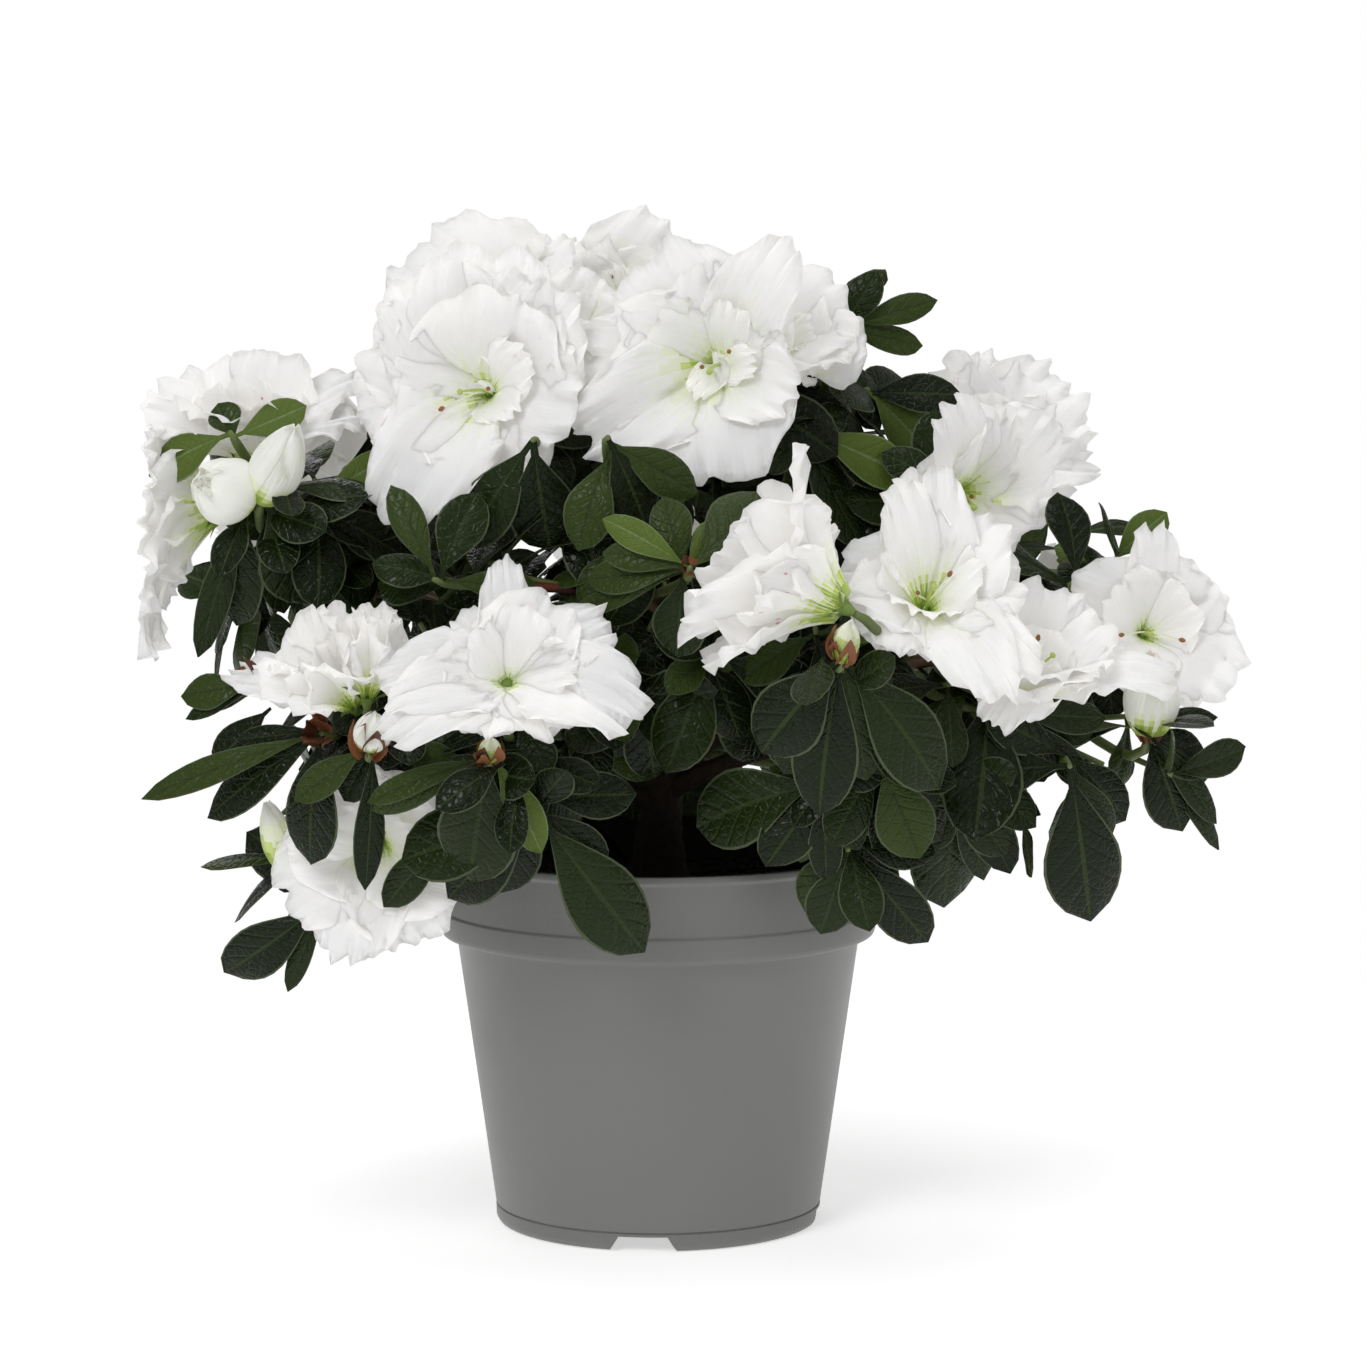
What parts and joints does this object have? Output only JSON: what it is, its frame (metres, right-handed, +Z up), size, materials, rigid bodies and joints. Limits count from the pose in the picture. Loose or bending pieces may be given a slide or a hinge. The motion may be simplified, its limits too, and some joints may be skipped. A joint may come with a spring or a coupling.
{
  "type": "potted azalea shrub",
  "caption": "Low, round azalea shrub in flower, with ruffs of small oval leaves and double white blooms, standing in a round tapered nursery pot.",
  "frame": {"origin": "middle of the pot's flat underside, at the ground", "axes": "+Z up along the pot's axis, -Y towards the front of the plant, where most blooms face, +X to its right as seen from the front"},
  "size_m": [0.2862, 0.2551, 0.2728],
  "materials": {
    "pot": "smooth mid-grey moulded plastic with a soft sheen",
    "soil": "dark crumbly potting soil",
    "bark": "rough brown bark",
    "foliage": "leathery dark green leaves with white blooms"
  },
  "bodies": {
    "root": {"pot": "pot", "soil": "soil", "trunk": "bark", "bough_left_upper": "bark", "bough_top_left": "bark", "bough_top_right": "bark", "bough_centre": "bark", "bough_right_front": "bark", "bough_right_back": "bark", "bough_right_end": "bark", "bough_left_front": "bark", "bough_centre_front": "bark", "bough_left_low": "bark", "bough_right_low": "bark", "bough_back_left": "bark", "bough_back_top": "bark", "bough_back_middle": "bark", "bough_back_right": "bark", "bough_back_low": "bark", "mass_left_upper": "foliage", "mass_top_left": "foliage", "mass_top_right": "foliage", "mass_centre": "foliage", "mass_right_front": "foliage", "mass_right_back": "foliage", "mass_right_end": "foliage", "mass_left_front": "foliage", "mass_centre_front": "foliage", "mass_left_low": "foliage", "mass_right_low": "foliage", "mass_back_left": "foliage", "mass_back_top": "foliage", "mass_back_middle": "foliage", "mass_back_right": "foliage", "mass_back_low": "foliage"}
  },
  "joints": []
}
